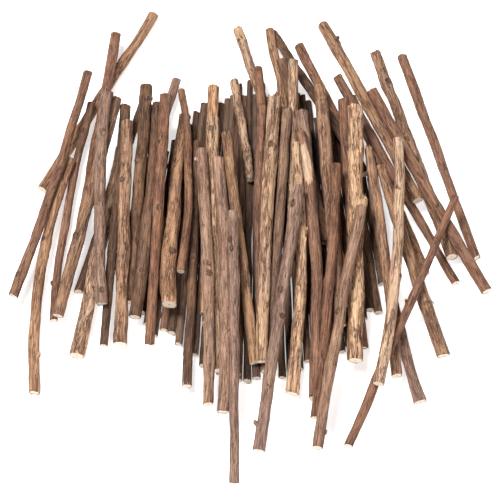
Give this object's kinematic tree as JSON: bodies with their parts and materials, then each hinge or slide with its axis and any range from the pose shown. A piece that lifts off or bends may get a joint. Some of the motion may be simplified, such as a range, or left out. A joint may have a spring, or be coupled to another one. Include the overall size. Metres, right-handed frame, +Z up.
{
  "type": "bundle of twigs",
  "caption": "Loose bundle of short cut twigs with the bark on, spread like a fan and lying flat, for crafts and decoration.",
  "frame": {"origin": "on the surface that the bundle lies on, under the middle of its bounding box", "axes": "+Z up, +Y along the twigs from their near ends, where the fan is open, to their far ends, +X to the right across the fan"},
  "size_m": [0.2684, 0.3096, 0.0355],
  "materials": {
    "red_bark": "rough red-brown bark with fine lengthwise fibres",
    "dark_bark": "rough dark brown bark",
    "grey_bark": "rough grey-brown bark with dark knots",
    "tan_bark": "rough tan bark with lengthwise streaks",
    "pale_bark": "partly peeled bark with pale wood showing"
  },
  "bodies": {
    "root": {"lower_twigs": "dark_bark", "twig_01": "dark_bark", "twig_02": "grey_bark", "twig_03": "tan_bark", "twig_04": "pale_bark", "twig_05": "dark_bark", "twig_06": "red_bark", "twig_07": "red_bark", "twig_08": "tan_bark", "twig_09": "red_bark", "twig_10": "dark_bark", "twig_11": "tan_bark", "twig_12": "red_bark", "twig_13": "red_bark", "twig_14": "tan_bark", "twig_15": "tan_bark", "twig_16": "red_bark", "twig_17": "pale_bark", "twig_18": "tan_bark", "twig_19": "red_bark", "twig_20": "dark_bark", "twig_21": "tan_bark", "twig_22": "pale_bark", "twig_23": "tan_bark", "twig_24": "dark_bark", "twig_25": "tan_bark", "twig_26": "dark_bark", "twig_27": "dark_bark", "twig_28": "tan_bark", "twig_29": "red_bark", "twig_30": "grey_bark", "twig_31": "tan_bark", "twig_32": "red_bark", "twig_33": "tan_bark", "twig_34": "red_bark", "twig_35": "pale_bark", "twig_36": "grey_bark", "twig_37": "grey_bark", "twig_38": "tan_bark", "twig_39": "pale_bark", "twig_40": "grey_bark", "twig_41": "red_bark", "twig_42": "grey_bark", "twig_43": "pale_bark", "twig_44": "grey_bark", "twig_45": "tan_bark", "twig_46": "red_bark", "twig_47": "pale_bark", "twig_48": "grey_bark", "twig_49": "red_bark", "twig_50": "red_bark", "twig_51": "grey_bark", "twig_52": "tan_bark", "twig_53": "tan_bark", "twig_54": "pale_bark", "twig_55": "grey_bark", "twig_56": "red_bark", "twig_57": "pale_bark"}
  },
  "joints": []
}
